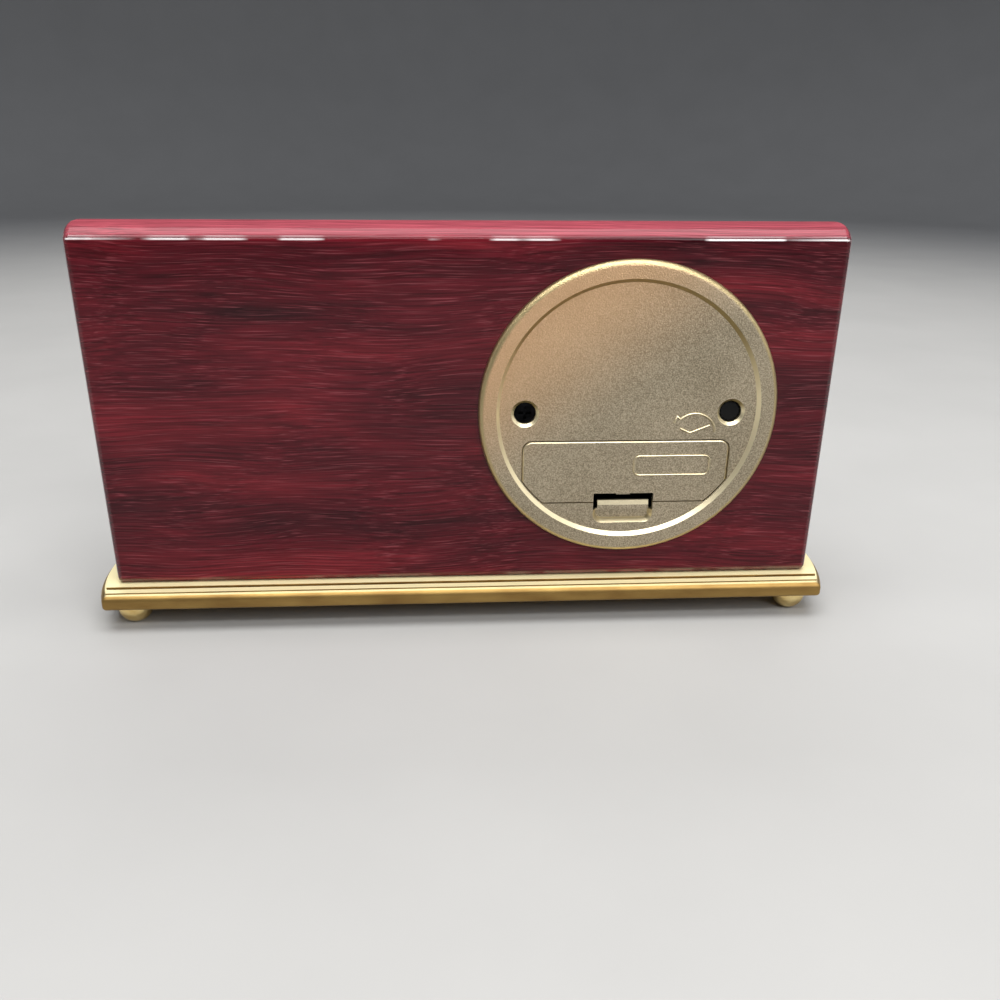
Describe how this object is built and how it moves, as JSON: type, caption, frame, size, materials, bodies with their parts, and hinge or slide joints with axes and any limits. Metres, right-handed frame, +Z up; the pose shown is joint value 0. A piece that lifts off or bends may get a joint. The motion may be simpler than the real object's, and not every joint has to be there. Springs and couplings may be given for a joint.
{
  "type": "desk clock",
  "caption": "Desk clock with a lacquered wooden block on a moulded brass base with ball feet, a battery quartz movement, a round dial and a rear cap with battery door and setting knob.",
  "frame": {"origin": "on the table under the middle of the base", "axes": "+Z up, the dial faces -Y, +X to the right seen from the front"},
  "size_m": [0.214, 0.0376, 0.1116],
  "materials": {
    "lacquered_wood": "red-brown wood with straight grain under high-gloss clear lacquer",
    "polished_brass": "polished and lacquered",
    "champagne_plastic": "moulded, metallised champagne gold with a fine grain",
    "black_plastic": "moulded, fine grain",
    "grey_plastic": "moulded",
    "natural_plastic": "moulded, slightly translucent",
    "zinc_steel": "zinc plated",
    "soft_iron": "stamped",
    "nickel_plate": "nickel plated",
    "blackened_steel": "black oxide",
    "copper_wire": "enamelled copper wire",
    "clear_glass": "polished",
    "ivory_dial": "matt ivory print on aluminium",
    "gold_ring": "metallised gold",
    "black_enamel": "gloss black",
    "gilt_metal": "gilt",
    "ferrite": "sintered",
    "green_board": "solder mask",
    "black_resin": "cast resin",
    "cell_sleeve": "plain printed sleeve"
  },
  "bodies": {
    "clock_body": {"wood_block": "lacquered_wood", "base_moulding": "polished_brass", "base_screws": "zinc_steel", "foot_front_left": "polished_brass", "foot_back_left": "polished_brass", "foot_front_right": "polished_brass", "foot_back_right": "polished_brass", "front_bezel": "polished_brass", "lens": "clear_glass", "dial_ring": "gold_ring", "dial": "ivory_dial", "movement_case": "black_plastic", "train_bridge": "grey_plastic", "bridge_screws": "zinc_steel", "stator": "soft_iron", "coil_core": "soft_iron", "coil_bobbin": "black_plastic", "coil_winding": "copper_wire", "rear_cap": "champagne_plastic", "cap_screw": "blackened_steel", "battery_cell": "cell_sleeve", "positive_contact": "nickel_plate", "negative_contact": "nickel_plate", "circuit_board": "green_board", "control_chip": "black_resin", "quartz_crystal": "nickel_plate"},
    "minute_arbor": {"cannon_pinion": "natural_plastic", "minute_hand": "black_enamel"},
    "hour_arbor": {"hour_wheel": "natural_plastic", "hour_hand": "black_enamel"},
    "minute_reduction": {"minute_wheel": "natural_plastic"},
    "idler_one": {"first_idler": "natural_plastic"},
    "idler_two": {"second_idler": "natural_plastic"},
    "knob": {"setting_knob": "black_plastic"},
    "second_arbor": {"second_wheel": "natural_plastic", "second_hand": "gilt_metal"},
    "third_arbor": {"third_wheel": "natural_plastic"},
    "centre_gear": {"centre_wheel": "natural_plastic"},
    "intermediate_arbor": {"intermediate_wheel": "natural_plastic"},
    "rotor": {"rotor_magnet": "ferrite", "rotor_pinion": "natural_plastic"},
    "door": {"battery_door": "champagne_plastic"}
  },
  "joints": [
    {"name": "minute_turn", "type": "hinge", "parent": "clock_body", "child": "minute_arbor", "pos_m": [-0.044, 0, 0.0623], "axis": [0, 1, 0], "continuous": true},
    {"name": "hour_turn", "type": "hinge", "parent": "clock_body", "child": "hour_arbor", "pos_m": [-0.044, 0, 0.0623], "axis": [0, 1, 0], "continuous": true},
    {"name": "minute_wheel_turn", "type": "hinge", "parent": "clock_body", "child": "minute_reduction", "pos_m": [-0.0516, 0, 0.0623], "axis": [0, 1, 0], "continuous": true},
    {"name": "first_idler_turn", "type": "hinge", "parent": "clock_body", "child": "idler_one", "pos_m": [-0.06034, 0, 0.0623], "axis": [0, 1, 0], "continuous": true},
    {"name": "second_idler_turn", "type": "hinge", "parent": "clock_body", "child": "idler_two", "pos_m": [-0.06642, 0, 0.0623], "axis": [0, 1, 0], "continuous": true},
    {"name": "knob_turn", "type": "hinge", "parent": "clock_body", "child": "knob", "pos_m": [-0.0725, 0, 0.0623], "axis": [0, 1, 0], "continuous": true},
    {"name": "second_turn", "type": "hinge", "parent": "clock_body", "child": "second_arbor", "pos_m": [-0.044, 0, 0.0623], "axis": [0, 1, 0], "continuous": true},
    {"name": "third_turn", "type": "hinge", "parent": "clock_body", "child": "third_arbor", "pos_m": [-0.03491, 0, 0.06755], "axis": [0, 1, 0], "continuous": true},
    {"name": "centre_turn", "type": "hinge", "parent": "clock_body", "child": "centre_gear", "pos_m": [-0.044, 0, 0.0623], "axis": [0, 1, 0], "continuous": true},
    {"name": "intermediate_turn", "type": "hinge", "parent": "clock_body", "child": "intermediate_arbor", "pos_m": [-0.04925, 0, 0.07139], "axis": [0, 1, 0], "continuous": true},
    {"name": "rotor_turn", "type": "hinge", "parent": "clock_body", "child": "rotor", "pos_m": [-0.04589, 0, 0.07721], "axis": [0, 1, 0], "continuous": true},
    {"name": "door_swing", "type": "hinge", "parent": "clock_body", "child": "door", "pos_m": [-0.044, 0.01295, 0.05372], "axis": [1, 0, 0], "range_deg": [0, 75]}
  ],
  "couplings": [
    {"joint": "hour_turn", "follows": "minute_turn", "ratio": 0.083333},
    {"joint": "minute_wheel_turn", "follows": "minute_turn", "ratio": -0.33333},
    {"joint": "first_idler_turn", "follows": "minute_turn", "ratio": 0.625},
    {"joint": "second_idler_turn", "follows": "minute_turn", "ratio": -0.625},
    {"joint": "knob_turn", "follows": "minute_turn", "ratio": 0.625},
    {"joint": "third_turn", "follows": "second_turn", "ratio": -0.125},
    {"joint": "centre_turn", "follows": "second_turn", "ratio": 0.016667},
    {"joint": "intermediate_turn", "follows": "second_turn", "ratio": -6},
    {"joint": "rotor_turn", "follows": "second_turn", "ratio": 30}
  ]
}
